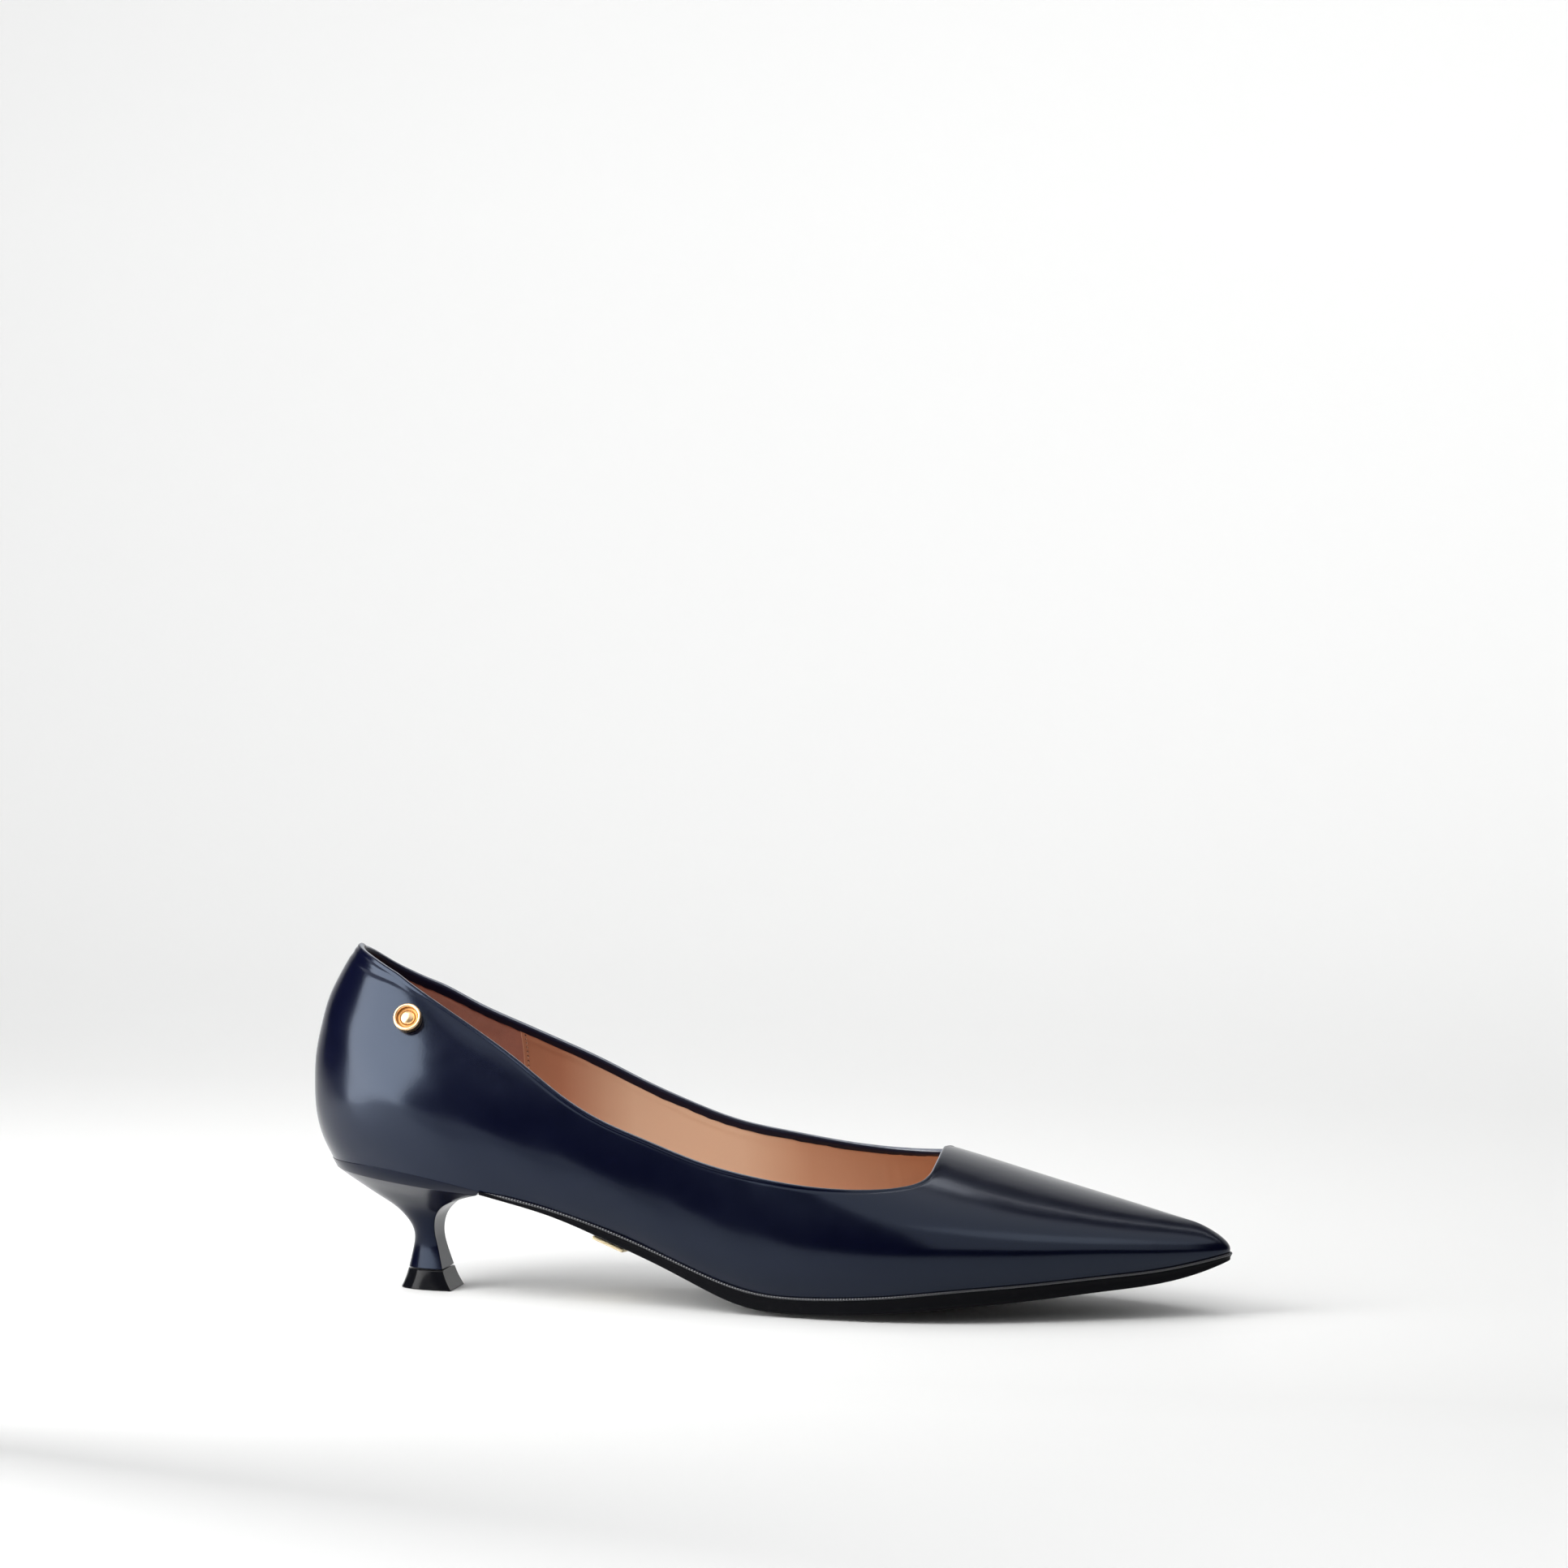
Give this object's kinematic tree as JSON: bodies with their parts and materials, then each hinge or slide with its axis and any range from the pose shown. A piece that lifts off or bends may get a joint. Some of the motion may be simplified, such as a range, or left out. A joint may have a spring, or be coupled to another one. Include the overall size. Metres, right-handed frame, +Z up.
{
  "type": "kitten heel pump",
  "caption": "Pointed court shoe for the right foot on a low slim heel, with a hollow thin-walled upper open at the collar and a stepped sole.",
  "frame": {"origin": "middle of the shoe's length and width, on the floor", "axes": "+X from the heel to the toe, +Y to the inner side of the foot, +Z up"},
  "size_m": [0.2616, 0.0774, 0.0973],
  "materials": {
    "upper_leather": "polished navy leather",
    "insole_leather": "matt tan leather",
    "outsole_rubber": "satin black",
    "heel_lacquer": "glossy navy",
    "tip_rubber": "glossy black",
    "badge_gilt": "polished gilt",
    "plate_gilt": "polished gilt"
  },
  "bodies": {
    "root": {"upper": "upper_leather", "insole": "insole_leather", "outsole": "outsole_rubber", "heel": "heel_lacquer", "heel_tip": "tip_rubber", "badge": "badge_gilt", "waist_plate": "plate_gilt"}
  },
  "joints": []
}
